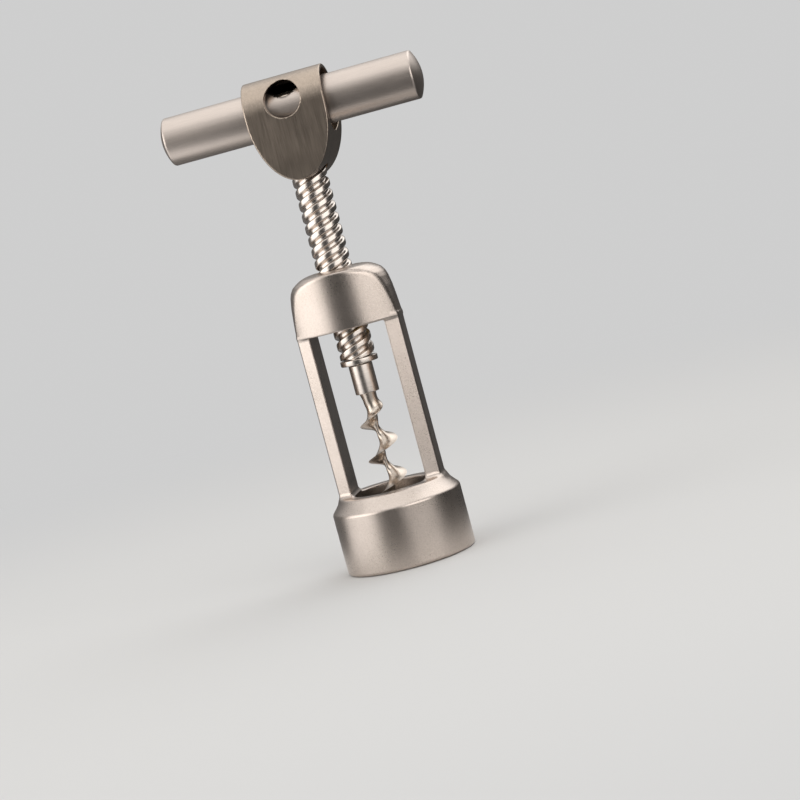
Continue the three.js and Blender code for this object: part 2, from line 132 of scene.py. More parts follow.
class FrameSizes(bpy.types.PropertyGroup):
    bell_radius: length("Bell radius", "Outer radius of the bell's skirt", 19 * MM)
    skirt_height: length("Skirt height", "Height of the bell's upright skirt", 18 * MM)
    shoulder_radius: length("Shoulder radius", "Radius at the shoulder's top", 15.7 * MM)
    bell_height: length("Bell height", "Height of the bell's upper rim", 22 * MM)
    mouth_radius: length("Mouth radius", "Radius of the bore for the bottle's lip", 15.7 * MM)
    mouth_depth: length("Mouth depth", "Depth of that bore", 13 * MM)
    seat_radius: length("Seat radius", "Radius where the seat's cone starts", 13.4 * MM)
    seat_height: length("Seat height", "Height of the seat's cone", 4 * MM)
    throat_radius: length("Throat radius", "Radius of the hole that the worm passes", 11.5 * MM)
    leg_inner: length("Leg inside", "Distance of a leg's inner face from the axis", 11.2 * MM)
    leg_outer: length("Leg outside", "Distance of a leg's outer face from the axis", 15.3 * MM)
    leg_inner_depth: length("Leg inner depth", "Depth of a leg at its inner face", 12.5 * MM)
    leg_outer_depth: length("Leg outer depth", "Depth of a leg at its outer face", 8 * MM)
    foot_fillet: length("Foot fillet", "Hollow fillet where a leg meets the shoulder", 1.6 * MM)
    bridge_width: length("Bridge width", "Width of the bridge over the legs", 30.8 * MM)
    bridge_height: length("Bridge height", "Height of the bridge", 17.6 * MM)
    bridge_depth: length("Bridge depth", "Depth of the bridge at its middle", 20 * MM)
    bridge_face_radius: length("Bridge face radius", "Radius of the bulging faces", 22 * MM)
    edge: length("Edge", "Radius of the blasted edges", 0.42 * MM)


class ScrewSizes(bpy.types.PropertyGroup):
    lead: length("Lead", "Travel of the spindle and the worm in one turn", 10.4 * MM)
    starts: whole("Starts", "Thread starts on the spindle", 3)
    thread_radius: length("Thread radius", "Outer radius of the spindle's thread", 5.22 * MM)
    thread_depth: length("Thread depth", "Depth of the thread's grooves", 1.1 * MM)
    thread_phase: share("Thread phase", "Where the crests stand at the thread's base", 0.845)
    thread_base: length("Thread base", "Height where the thread starts", RING_TOP + CLEARANCE)
    thread_top: length("Thread top", "Height where the thread ends in the hub", HUB_BASE + 5 * MM)
    neck_radius: length("Neck radius", "Radius of the neck that carries the stop ring", 3 * MM)
    journal_radius: length("Journal radius", "Radius of the journal in the bar", 5.6 * MM)
    journal_top: length("Journal top", "Height of the journal's domed end", BAR_AXIS + 5 * MM)
    journal_dome: length("Journal dome", "Rise of the journal's domed end", 1.6 * MM)
    ring_radius: length("Ring radius", "Outer radius of the stop ring", 5.5 * MM)
    shank_radius: length("Shank radius", "Radius of the worm's shank", 3.5 * MM)
    shank_length: length("Shank length", "Length of the worm's shank", 8.5 * MM)
    worm_radius: length("Worm radius", "Reach of the blade's cutting edge", 5 * MM)
    worm_neck: length("Worm neck", "Radius of the section under the shank", 2.4 * MM)
    worm_overlap: length("Worm overlap", "How far the blade's back runs past the axis", 0.45 * MM)
    worm_width: length("Worm width", "Width of the blade's section", 3.2 * MM)
    worm_lean: share("Worm lean", "How far the section leans to the blade's upper face", 0.5)
    worm_runout: length("Worm runout", "Length over which the neck becomes a blade", 12 * MM)
    worm_taper: length("Worm taper", "Length of the point", 9 * MM)
    worm_phase: share("Worm phase", "Where the cutting edge stands under the shank", 0.42)


class HandleSizes(bpy.types.PropertyGroup):
    tube_radius: length("Tube radius", "Outer radius of the hub's tube", 10.1 * MM)
    hub_length: length("Hub length", "Length of the hub along the bar", 23.5 * MM)
    shield_start: length("Shield start", "Where the shield's ellipse starts under the axis", 1 * MM)
    hub_edge: length("Hub edge", "Radius of the hub's edges", 0.32 * MM)
    bar_gap: length("Bar gap", "Gap between the bar and the hub's bore", CLEARANCE)
    collar_radius: length("Collar radius", "Radius of the relief at each end of the hub", 9 * MM)
    collar_depth: length("Collar depth", "Depth of that relief", 3 * MM)
    window_radius: length("Window radius", "Radius of the window in the hub", 5.3 * MM)
    window_rise: length("Window rise", "Height of the window over the bar's axis", 2.9 * MM)
    cross_bore: length("Cross bore", "Radius of the bore for the spindle's journal", 5.9 * MM)
    bar_radius: length("Bar radius", "Radius of the handle bar", 7 * MM)
    bar_length: length("Bar length", "Length of the handle bar", 78 * MM)
    bar_dome: length("Bar dome", "Rise of the bar's domed ends", 2 * MM)
    bar_edge: length("Bar edge", "Radius at the ends of the bar", 0.35 * MM)


class FinishColours(bpy.types.PropertyGroup):
    nickel: colour("Nickel", "Colour of the satin nickel casting", (0.68, 0.595, 0.535))
    nickel_dark: colour("Nickel shade", "Colour in the blasted pits", (0.5, 0.43, 0.375))
    brushed: colour("Brushed nickel", "Colour of the hub", (0.52, 0.43, 0.352))
    polished: colour("Polished nickel", "Colour of the spindle and ring", (0.79, 0.71, 0.645))
    worm: colour("Worm", "Colour of the worm's blade", (0.8, 0.7, 0.605))
    brass: colour("Brass", "Colour of the bush", (0.62, 0.47, 0.25))
    satin_roughness: share("Satin roughness", "Roughness of the blasted surfaces", 0.29)
    bar_roughness: share("Bar roughness", "Roughness of the handle bar", 0.36)
    brushed_roughness: share("Brushed roughness", "Roughness of the brushed surfaces", 0.31)
    polished_roughness: share("Polished roughness", "Roughness of the plated spindle", 0.25)
    worm_roughness: share("Worm roughness", "Roughness of the worm's blade", 0.3)
    lathe_roughness: share("Lathe roughness", "Roughness of the worm's shank", 0.3)
    brass_roughness: share("Brass roughness", "Roughness of the bush", 0.3)


class StageSettings(bpy.types.PropertyGroup):
    floor_colour: colour("Floor", "Colour of the floor", (0.62, 0.615, 0.605))
    backdrop: colour("Backdrop", "Colour of the backdrop", (0.62, 0.62, 0.62))
    camera_azimuth: tilt("Camera azimuth", "Turn of the camera to the right", math.radians(11))
    camera_elevation: tilt("Camera elevation", "Height of the camera", math.radians(4.984))
    camera_roll: tilt("Camera roll", "Tilt of the picture", math.radians(15))
    camera_distance: length("Camera distance", "From the camera to the aim point", 643.594 * MM)
    camera_side: length("Camera side step", "Sideways move of the camera", 8.409 * MM)
    camera_rise: length("Camera rise", "Upward move of the camera", -26.533 * MM)
    aim_height: length("Aim height", "Height of the point that the angles turn round", 72 * MM)
    focal_share: ratio("Focal share", "Focal length over the picture's width", 2240.02 / 800)


GROUPS = {
    "corkscrew_frame": FrameSizes,
    "corkscrew_screw": ScrewSizes,
    "corkscrew_handle": HandleSizes,
    "corkscrew_finish": FinishColours,
    "corkscrew_stage": StageSettings,
}

# ---- Shapes as distances: less than nothing inside, more outside ----

# Least values, which keep a division from zero
LEAST = 1e-6
NEARLY_ZERO = 1e-12

# Meshing: how often the points are drawn on to the surface, and the least squared slope there
DRAWS = 4
LEAST_STEEPNESS = 0.25

# Dome: levels at which its table is read, levels that are smoothed together, and its least slope
DOME_LEVELS = 221
DOME_SMOOTHING = 11
DOME_LEAST_SLOPE = 1e-3


def both(a, b, edge=0.0):
    """What lies in a and in b, with its edge rounded."""
    if not edge:
        return np.maximum(a, b)
    corner = np.hypot(np.maximum(a + edge, 0), np.maximum(b + edge, 0))
    return np.minimum(-edge, np.maximum(a, b)) + corner


def either(a, b, fillet=0.0):
    """What lies in a or in b, with a hollow fillet where they meet."""
    return -both(-a, -b, fillet)


def without(a, b, edge=0.0):
    """What lies in a and not in b."""
    return both(a, -b, edge)


def level_ellipse(x, z, half_width, half_height):
    """Nearly the distance to an ellipse."""
    across = np.abs(x) / half_width
    up = np.abs(z) / half_height
    size = np.maximum((across**2 + up**2) ** 0.5, LEAST)
    slope = np.hypot(across / size / half_width, up / size / half_height)
    return (size - 1) / np.maximum(slope, LEAST)


def level_dome(x, y, z, base, height, half, rows):
    """Nearly the distance to a stack of level ellipses. Each row holds a share of the height, and
    the half width and half depth there as shares of half."""
    shares = np.linspace(0, 1, DOME_LEVELS)
    table = np.array(rows)
    spread = np.hanning(DOME_SMOOTHING) / np.hanning(DOME_SMOOTHING).sum()
    smooth = []
    for column in (1, 2):
        values = np.interp(shares, table[:, 0], table[:, column])
        values = np.pad(values, DOME_SMOOTHING // 2, "edge")
        smooth.append(np.convolve(values, spread, "valid") * half)
    up = (z - base) / height
    width, depth = (np.interp(up, shares, values) for values in smooth)
    thin_width, thin_depth = (
        np.interp(up, shares, np.gradient(values, shares * height)) for values in smooth
    )
    size = np.maximum(np.hypot(x / width, y / depth), LEAST)
    slope = np.sqrt(
        (x / width**2) ** 2 + (y / depth**2) ** 2
        + (x**2 * thin_width / width**3 + y**2 * thin_depth / depth**3) ** 2
    ) / size
    return (size - 1) / np.maximum(slope, DOME_LEAST_SLOPE)


def crossings(field):
    """For each cell of a grid of distances, the sum of the places where the surface crosses its
    edges, in cells, and their number."""
    total = np.zeros(tuple(n - 1 for n in field.shape) + (3,))
    count = np.zeros(tuple(n - 1 for n in field.shape))
    corners = [(i, j, k) for i in (0, 1) for j in (0, 1) for k in (0, 1)]
    window = lambda at: field[tuple(slice(a, n - 1 + a) for a, n in zip(at, field.shape))]
    for start in corners:
        for axis in range(3):
            if start[axis]:
                continue
            end = tuple(v + (i == axis) for i, v in enumerate(start))
            a, b = window(start), window(end)
            crossed = (a < 0) != (b < 0)
            part = np.where(crossed, a / np.where(crossed, a - b, 1), 0)
            for i in range(3):
                total[..., i] += crossed * (start[i] + (part if i == axis else 0))
            count += crossed
    return total, count


def four_sided(inside, number):
    """A face round each grid edge that the surface crosses, between the cells beside it."""
    faces = []
    for axis in range(3):
        others = [i for i in range(3) if i != axis]
        low_side = [slice(1, -1)] * 3
        low_side[axis] = slice(0, -1)
        high_side = list(low_side)
        high_side[axis] = slice(1, None)
        a, b = inside[tuple(low_side)], inside[tuple(high_side)]
        where = np.argwhere(a != b)
        base = where + (np.arange(3) != axis)
        quads = []
        for u, v in ((0, 0), (1, 0), (1, 1), (0, 1)):
            step = np.zeros(3, dtype=np.int64)
            step[others] = -u, -v
            quads.append(number[tuple((base + step).T)])
        quads = np.stack(quads, axis=1)
        outward = a[tuple(where.T)]
        flip = outward if axis == 1 else ~outward
        quads[flip] = quads[flip][:, ::-1]
        faces.append(quads)
    return np.concatenate(faces)


def drawn_on(shape, points, cell):
    """The points moved on to a shape's surface, by at most half a cell at a time, and the normals
    there."""
    value = lambda p: shape(p[:, 0], p[:, 1], p[:, 2])
    probe = cell / 100
    for _ in range(DRAWS):
        slope = np.stack([
            (value(points + probe * e) - value(points - probe * e)) / (2 * probe) for e in np.eye(3)
        ], axis=1)
        steep = np.maximum((slope**2).sum(axis=1), LEAST_STEEPNESS)
        move = (value(points) / steep)[:, None] * slope
        reach = np.linalg.norm(move, axis=1, keepdims=True)
        points = points - move * np.minimum(1, cell / 2 / np.maximum(reach, NEARLY_ZERO))
    return points, slope / np.maximum(np.linalg.norm(slope, axis=1, keepdims=True), NEARLY_ZERO)


def meshed(name, kind, shape, low, high, cell):
    """A piece of that metal: a closed mesh over the surface of a shape in a box."""
    axes = [np.arange(a - 2 * cell, b + 3 * cell, cell) for a, b in zip(low, high)]
    x, y, z = np.meshgrid(*axes, indexing="ij", sparse=True)
    field = np.asarray(shape(x, y, z) + 0 * (x + y + z), dtype=np.float64)
    field[field == 0] = NEARLY_ZERO
    total, count = crossings(field)
    used = count > 0
    number = np.full(used.shape, -1, dtype=np.int64)
    number[used] = np.arange(used.sum())
    origin = np.array([a[0] for a in axes])
    points = origin + cell * (np.argwhere(used) + total[used] / count[used][:, None])
    faces = four_sided(field < 0, number)
    points, normals = drawn_on(shape, points, cell)
    mesh = bpy.data.meshes.new(name)
    mesh.from_pydata(points.tolist(), [], faces.tolist())
    mesh.update()
    mesh.shade_smooth()
    mesh.normals_split_custom_set_from_vertices(normals.tolist())
    mesh.materials.append(finish_of(kind))
    return linked(name, mesh)


def linked(name, data):
    """An object of a mesh, a lamp or a camera, linked to the scene."""
    item = bpy.data.objects.new(name, data)
    bpy.context.scene.collection.objects.link(item)
    return item


def eased(corners, steps=8):
    """The outline of the given corners, each (x, y, fillet), with arcs of the fillets."""
    points = []
    for index, (x, y, fillet) in enumerate(corners):
        corner = np.array([x, y])
        if not fillet:
            points.append(corner)
            continue
        sides = [np.array(corners[(index + way) % len(corners)][:2]) - corner for way in (-1, 1)]
        reach = min(fillet, *(np.linalg.norm(side) / 2 for side in sides))
        start, end = (corner + side / np.linalg.norm(side) * reach for side in sides)
        for t in np.linspace(0, 1, steps + 1):
            points.append((1 - t) ** 2 * start + 2 * t * (1 - t) * corner + t**2 * end)
    return points


def wound(rows, around, closed=True):
    """The points of rows of (radius, height) turned about Z, and the faces between the rows."""
    points = [
        (r * math.cos(TURN * i / around), r * math.sin(TURN * i / around), z)
        for r, z in rows for i in range(around)
    ]
    faces = []
    for row in range(len(rows) if closed else len(rows) - 1):
        below, above = row * around, (row + 1) % len(rows) * around
        for i in range(around):
            j = (i + 1) % around
            faces.append((below + i, below + j, above + j, above + i))
    return points, faces


def turned(name, kind, outline, around=96):
    """A piece of that metal: a closed profile of (radius, height) points, counter-clockwise, turned
    about Z."""
    points, faces = wound(outline, around)
    mesh = bpy.data.meshes.new(name)
    mesh.from_pydata(points, [], faces)
    merged(mesh)
    mesh.materials.append(finish_of(kind))
    return linked(name, mesh)


def merged(mesh, distance=1e-6, sharp=math.radians(30)):
    """Joins doubled points, drops flat faces and smooths the mesh but for its sharp edges."""
    work = bmesh.new()
    work.from_mesh(mesh)
    bmesh.ops.remove_doubles(work, verts=work.verts, dist=distance)
    bmesh.ops.dissolve_degenerate(work, edges=work.edges, dist=distance)
    bmesh.ops.recalc_face_normals(work, faces=work.faces)
    work.to_mesh(mesh)
    work.free()
    mesh.shade_smooth()
    mesh.set_sharp_from_angle(angle=sharp)
    mesh.update()


# ---- Geometry Nodes ----


class Wire:
    """A socket of a node tree. An expression on it adds its Math nodes."""

    def __init__(self, tree, socket):
        self.tree = tree
        self.socket = socket

    def __add__(self, other):
        return self.tree.maths("ADD", self, other)

    def __radd__(self, other):
        return self.tree.maths("ADD", other, self)

    def __sub__(self, other):
        return self.tree.maths("SUBTRACT", self, other)

    def __rsub__(self, other):
        return self.tree.maths("SUBTRACT", other, self)

    def __mul__(self, other):
        return self.tree.maths("MULTIPLY", self, other)

    def __rmul__(self, other):
        return self.tree.maths("MULTIPLY", other, self)

    def __truediv__(self, other):
        return self.tree.maths("DIVIDE", self, other)

    def __rtruediv__(self, other):
        return self.tree.maths("DIVIDE", other, self)


class Tree:
    """A node tree with one method that adds any node."""

    def __init__(self, tree):
        self.tree = tree

    def node(self, kind, settings=None, out=0, **inputs):
        """Adds a node and gives its output: settings are set first, then the values or links of its
        sockets, by name or, as i0, i1 and so on, by number."""
        node = self.tree.nodes.new(kind)
        for key, value in (settings or {}).items():
            if key == "curve":
                self._curve(node.mapping, value)
            else:
                setattr(node, key, value)
        for key, value in inputs.items():
            numbered = key[0] == "i" and key[1:].isdigit()
            socket = node.inputs[int(key[1:]) if numbered else key.replace("_", " ")]
            if isinstance(value, Wire):
                self.tree.links.new(value.socket, socket)
            else:
                socket.default_value = value
        return Wire(self, node.outputs[out]) if node.outputs else node

    def maths(self, operation, *values):
        inputs = {f"i{i}": value for i, value in enumerate(values)}
        return self.node("ShaderNodeMath", {"operation": operation}, **inputs)

    def _curve(self, mapping, points):
        curve = mapping.curves[0]
        while len(curve.points) > 2:
            curve.points.remove(curve.points[1])
        curve.points[0].location, curve.points[1].location = points[0], points[-1]
        for point in points[1:-1]:
            curve.points.new(*point)
        mapping.update()


def shape_tree(name, labels, build):
    """A Geometry Nodes tree with a number for each label and a material as its inputs, ended by
    Realize Instances and Set Material."""
    group = bpy.data.node_groups.new(name, "GeometryNodeTree")
    for label in labels:
        group.interface.new_socket(label, in_out="INPUT", socket_type="NodeSocketFloat")
    group.interface.new_socket("Material", in_out="INPUT", socket_type="NodeSocketMaterial")
    group.interface.new_socket("Geometry", in_out="OUTPUT", socket_type="NodeSocketGeometry")
    tree = Tree(group)
    source = group.nodes.new("NodeGroupInput")
    given = {socket.name: Wire(tree, socket) for socket in source.outputs if socket.name}
    shape = build(tree, given)
    shape = tree.node("GeometryNodeRealizeInstances", Geometry=shape)
    shape = tree.node("GeometryNodeSetMaterial", Geometry=shape, Material=given["Material"])
    sink = group.nodes.new("NodeGroupOutput")
    group.links.new(shape.socket, sink.inputs[0])
    return group


def made_by(build, name, kind, values):
    """A piece of that metal: a plain mesh from the Geometry Nodes that the function builds, which
    take the values as inputs."""
    group = shape_tree(name.replace("_", " "), values, build)
    values = {**values, "Material": finish_of(kind)}
    carrier = linked(name + "_source", bpy.data.meshes.new(name + "_source"))
    modifier = carrier.modifiers.new("shape", "NODES")
    modifier.node_group = group
    for item in group.interface.items_tree:
        if item.in_out == "INPUT":
            modifier[item.identifier] = values[item.name]
    graph = bpy.context.evaluated_depsgraph_get()
    graph.update()
    mesh = bpy.data.meshes.new_from_object(carrier.evaluated_get(graph), depsgraph=graph)
    mesh.name = name
    bpy.data.objects.remove(carrier)
    merged(mesh, sharp=math.radians(50))
    return linked(name, mesh)


def limited(tree, value):
    return tree.node("ShaderNodeClamp", Value=value, Min=0.0, Max=1.0)


def places(tree, place):
    parts = tree.node("ShaderNodeSeparateXYZ", Vector=place).socket.node.outputs
    return [Wire(tree, part) for part in parts]


def skin(tree, around, along):
    """A unit sheet of points, the places of its points round and along, both 0 to 1, and 0 for the
    first and last rows, which are drawn in to the axis and close the ends, but 1 for the rest."""
    sheet = tree.node(
        "GeometryNodeMeshGrid", Size_X=1.0, Size_Y=1.0, Vertices_X=around + 1, Vertices_Y=along + 3
    )
    x, y, _ = places(tree, tree.node("GeometryNodeInputPosition"))
    turn = x + 0.5
    row = (y + 0.5) * (along + 2)
    run = limited(tree, (row - 1) / along)
    kept = tree.maths("GREATER_THAN", row, 0.5) * tree.maths("LESS_THAN", row, along + 1.5)
    return sheet, turn, run, kept


def moved(tree, sheet, x, y, z):
    place = tree.node("ShaderNodeCombineXYZ", X=x, Y=y, Z=z)
    shape = tree.node("GeometryNodeSetPosition", Geometry=sheet, Position=place)
    return tree.node("GeometryNodeMergeByDistance", Geometry=shape, Distance=1e-7)


# Profile of one thread start: share of the start, and share of the thread's depth
THREAD_SHARES = [
    (0, 0.02), (0.03, 0), (0.22, 0), (0.27, 0.08), (0.37, 0.84), (0.42, 0.96), (0.48, 1), (0.77, 1),
    (0.83, 0.96), (0.88, 0.82), (0.97, 0.1), (1, 0.02),
]

# Worm under the shank: share of the runout, and how far the section has become a blade
RUNOUT_SHARES = [(0, 0), (0.15, 0.12), (0.35, 0.35), (0.58, 0.62), (0.8, 0.9), (1, 1)]

# Blade: the power by which it thins to its point, half its size there, and how much the section
# narrows to the cutting edge
POINT_POWER = 0.8
POINT_SIZE = 0.2 * MM
NARROWING_SHARE = 0.42


def thread(tree, given):
    """The thread: like starts side by side, wound up round the axis."""
    sheet, turn, run, kept = skin(tree, around=108, along=300)
    height = given["Base"] + (given["Top"] - given["Base"]) * run
    start = tree.maths("FRACT", turn * given["Starts"])
    depth = tree.node("ShaderNodeFloatCurve", {"curve": THREAD_SHARES}, Value=start)
    radius = (given["Radius"] - given["Depth"] * (1 - depth)) * kept
    turns = turn + (height - given["Base"]) / given["Lead"] + given["Phase"] / given["Starts"]
    angle = TURN * turns
    x, y = radius * tree.maths("COSINE", angle), radius * tree.maths("SINE", angle)
    return moved(tree, sheet, x, y, height)


def blade(tree, given):
    """The worm: a round neck that becomes a twisted blade with a thin edge and a point."""
    sheet, turn, run, kept = skin(tree, around=40, along=340)
    height = given["Point"] + (given["Shank"] - given["Point"]) * run
    below_shank = (given["Shank"] - height) / given["Runout"]
    bladed = tree.node("ShaderNodeFloatCurve", {"curve": RUNOUT_SHARES}, Value=below_shank)
    full = limited(tree, (height - given["Point"]) / given["Taper"])
    full = tree.maths("POWER", full, POINT_POWER)
    blend = lambda low, high, amount: low + (high - low) * amount
    reach = blend(given["Neck"], given["Radius"], bladed)
    overlap = blend(given["Neck"], given["Overlap"], bladed)
    half_width = blend(given["Neck"], given["Width"] / 2, bladed)
    centre = (reach - overlap) / 2
    half_length = blend(POINT_SIZE, (reach + overlap) / 2, full)
    half_width = blend(POINT_SIZE, half_width, full)
    angle = TURN * turn
    outward = tree.maths("COSINE", angle)
    narrowing = 1 - bladed * NARROWING_SHARE * (1 + outward)
    local_x = (centre + half_length * outward) * kept
    sideways = tree.maths("SINE", angle)
    sideways = sideways - bladed * given["Lean"] * sideways * sideways
    local_y = half_width * sideways * narrowing * kept
    twist = TURN * ((height - given["Shank"]) / given["Lead"] + given["Phase"])
    cosine, sine = tree.maths("COSINE", twist), tree.maths("SINE", twist)
    x = local_x * cosine - local_y * sine
    y = local_x * sine + local_y * cosine
    return moved(tree, sheet, x, y, height)


# ---- Materials ----


# Painted shade in hollows: a dark colour mixed into the metal where shade falls. Its brightness as
# a share of the shade, and the radii or heights between which it comes in, in the casting's throat,
# down it, under the bridge, in the hub and in the bar
PAINTED_SHADE_SHARE = 0.1
THROAT_SHADE_RADII = (12.4 * MM, 11.6 * MM)
THROAT_SHADE_HEIGHTS = (20.5 * MM, 17.5 * MM)
PAINTED_SHADE_HEIGHTS = (30 * MM, 26 * MM)
HUB_BORE_SHADE_RADII = (9.3 * MM, 7.9 * MM)
BAR_BORE_SHADE_RADII = (6.5 * MM, 6 * MM)


def bare_tree(owner):
    """The emptied node tree of a material or a world."""
    owner.use_nodes = True
    owner.node_tree.nodes.clear()
    return Tree(owner.node_tree)


def mixed(tree, amount, start, end):
    return tree.node("ShaderNodeMix", {"data_type": "RGBA"}, out=2, i0=amount, i6=start, i7=end)


def metal(name, base, shade, roughness, grain):
    """A metal whose colour, roughness and bump come from the grain: a function of the tree and its
    Object coordinates that gives the tone, 0 to 1 from shade to base, the painted shade, 0 to 1 or
    None, which darkens the colour where shade falls in hollows, the change of roughness, the
    relief,
    0 to 1, and the relief's metres."""
    material = bpy.data.materials.new(name)
    tree = bare_tree(material)
    tone, painted_shade, wear, relief, distance = grain(tree, tree.node("ShaderNodeTexCoord", out=3))
    tint = mixed(tree, tone, (*shade, 1), (*base, 1))
    # Painted shade: the colour is darkened towards a dark copy of the shade where shade falls in
    # hollows
    if painted_shade is not None:
        tint = mixed(tree, painted_shade, tint, (*[v * PAINTED_SHADE_SHARE for v in shade], 1))
    bump = tree.node("ShaderNodeBump", Strength=1.0, Distance=distance, Height=relief)
    shader = tree.node(
        "ShaderNodeBsdfPrincipled",
        Base_Color=tint, Metallic=1.0, Roughness=roughness + wear, Normal=bump,
    )
    tree.node("ShaderNodeOutputMaterial", Surface=shader)
    return material


def noise(tree, place, size, detail=2.0, stretch=(1, 1, 1), roughness=0.5):
    """Noise whose lumps are of about the given size in metres, stretched along the axes."""
    scaled = tree.node(
        "ShaderNodeMapping", {"vector_type": "TEXTURE"}, Vector=place, Scale=stretch
    )
    return tree.node(
        "ShaderNodeTexNoise", Vector=scaled, Scale=1 / size, Detail=detail, Roughness=roughness
    )


def ramp(tree, value, start, end):
    """0 up to start and 1 from end on, smooth between them; the two may be either way round."""
    low, high = min(start, end), max(start, end)
    rise = tree.node(
        "ShaderNodeMapRange", {"interpolation_type": "SMOOTHSTEP"},
        Value=value, From_Min=low, From_Max=high, To_Min=0.0, To_Max=1.0,
    )
    return rise if start < end else 1 - rise


def swings(level, *parts):
    """The level, moved up or down by each (noise, weight), by half the weight at the most."""
    for part, weight in parts:
        level = level + (part - 0.5) * weight
    return level


def off_axis(tree, a, b):
    return tree.maths("SQRT", a * a + b * b)


def blasted(tree, place):
    """Fine blasted pits with slow clouds of tone over them, and painted shade inside the throat."""
    fine = noise(tree, place, 0.3 * MM, roughness=0.6)
    grit = noise(tree, place, 0.62 * MM)
    clouds = noise(tree, place, 11 * MM, detail=3.0)
    tone = limited(tree, swings(0.6, (fine, 1.4), (grit, 0.6), (clouds, 0.9)))
    x, y, z = places(tree, place)
    # Painted shade: the colour darkens inside the throat, more lower down, in patches
    inside = ramp(tree, off_axis(tree, x, y), *THROAT_SHADE_RADII)
    depth = ramp(tree, z, *THROAT_SHADE_HEIGHTS)
    patchy = limited(tree, swings(0.25 + depth * 0.75, (clouds, 0.3)))
    painted_shade = inside * ramp(tree, z, *PAINTED_SHADE_HEIGHTS) * patchy
    wear = swings(0.0, (fine, 0.1), (clouds, 0.06))
    return tone, painted_shade, wear, fine * 0.8 + grit * 0.2, 0.032 * MM


def brushed(tree, place):
    """Long fine upright scratches with a few deeper ones, and painted shade inside the bores."""
    fine = noise(tree, place, 0.2 * MM, stretch=(1, 1, 26))
    wide = noise(tree, place, 0.55 * MM, stretch=(1, 1, 18))
    clouds = noise(tree, place, 8 * MM)
    tone = limited(tree, swings(0.5, (fine, 1.4), (wide, 1.1), (clouds, 0.9)))
    _, y, z = places(tree, place)
    # Painted shade: the colour darkens inside the hub's bore round the bar
    painted_shade = ramp(tree, off_axis(tree, y, z - BAR_AXIS), *HUB_BORE_SHADE_RADII) * 0.9
    wear = swings(0.0, (fine, 0.12), (clouds, 0.06))
    return tone, painted_shade, wear, fine * 0.65 + wide * 0.35, 0.022 * MM


def bar_satin(tree, place):
    """Fine grain round and along the bar, as turned and blasted stock has it, and painted shade
    inside the cross bore.
    """
    fine = noise(tree, place, 0.3 * MM, roughness=0.6)
    drawn = noise(tree, place, 0.3 * MM, stretch=(18, 1, 1))
    clouds = noise(tree, place, 12 * MM)
    tone = limited(tree, swings(0.55, (fine, 0.8), (drawn, 0.8), (clouds, 0.7)))
    x, y, _ = places(tree, place)
    # Painted shade: the colour darkens inside the cross bore
    painted_shade = ramp(tree, off_axis(tree, x, y), *BAR_BORE_SHADE_RADII) * 0.85
    wear = swings(0.0, (fine, 0.08), (clouds, 0.04))
    return tone, painted_shade, wear, fine * 0.6 + drawn * 0.4, 0.014 * MM


def plated(tree, place):
    """Smooth plating with light scuffs, faint waves and duller spots."""
    waves = noise(tree, place, 2.6 * MM, detail=1.0)
    scuffs = noise(tree, place, 0.3 * MM)
    clouds = noise(tree, place, 5 * MM)
    tone = limited(tree, swings(0.5, (clouds, 1.4), (scuffs, 0.7)))
    wear = swings(0.0, (scuffs, 0.08), (clouds, 0.1))
    return tone, None, wear, waves * 0.85 + scuffs * 0.15, 0.016 * MM


def lathe_cut(tree, place):
    """Fine rings round the axis, as a lathe leaves them, with light scuffs."""
    rings = noise(tree, place, 0.16 * MM, stretch=(40, 40, 1))
    bands = noise(tree, place, 0.9 * MM, stretch=(30, 30, 1))
    scuffs = noise(tree, place, 0.4 * MM, detail=3.0)
    tone = limited(tree, swings(0.5, (rings, 1.1), (bands, 0.9), (scuffs, 0.5)))
    wear = swings(0.0, (rings, 0.12), (scuffs, 0.06))
    return tone, None, wear, rings * 0.7 + bands * 0.3, 0.012 * MM


def finish_of(kind):
    """The finished metal of that name, made once."""
    c = bpy.context.scene.corkscrew_finish
    dark = lambda base, amount: tuple(v * amount for v in base)
    # Colour, shade in the grain's low places, roughness and grain
    metals = {
        "satin_nickel_blasted": (c.nickel, c.nickel_dark, c.satin_roughness, blasted),
        "nickel_brushed": (c.brushed, dark(c.brushed, 0.72), c.brushed_roughness, brushed),
        "nickel_bar_satin": (c.nickel, dark(c.nickel, 0.82), c.bar_roughness, bar_satin),
        "nickel_plated": (c.polished, dark(c.polished, 0.84), c.polished_roughness, plated),
        "nickel_worm": (c.worm, dark(c.worm, 0.8), c.worm_roughness, plated),
        "nickel_lathe_cut": (c.polished, dark(c.polished, 0.8), c.lathe_roughness, lathe_cut),
        "brass_bush": (c.brass, dark(c.brass, 0.7), c.brass_roughness, plated),
    }
    return bpy.data.materials.get(kind) or metal(kind, *metals[kind])


# ---- Operators ----


def rides(piece, body, node):
    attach(piece, body)
    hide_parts(node)


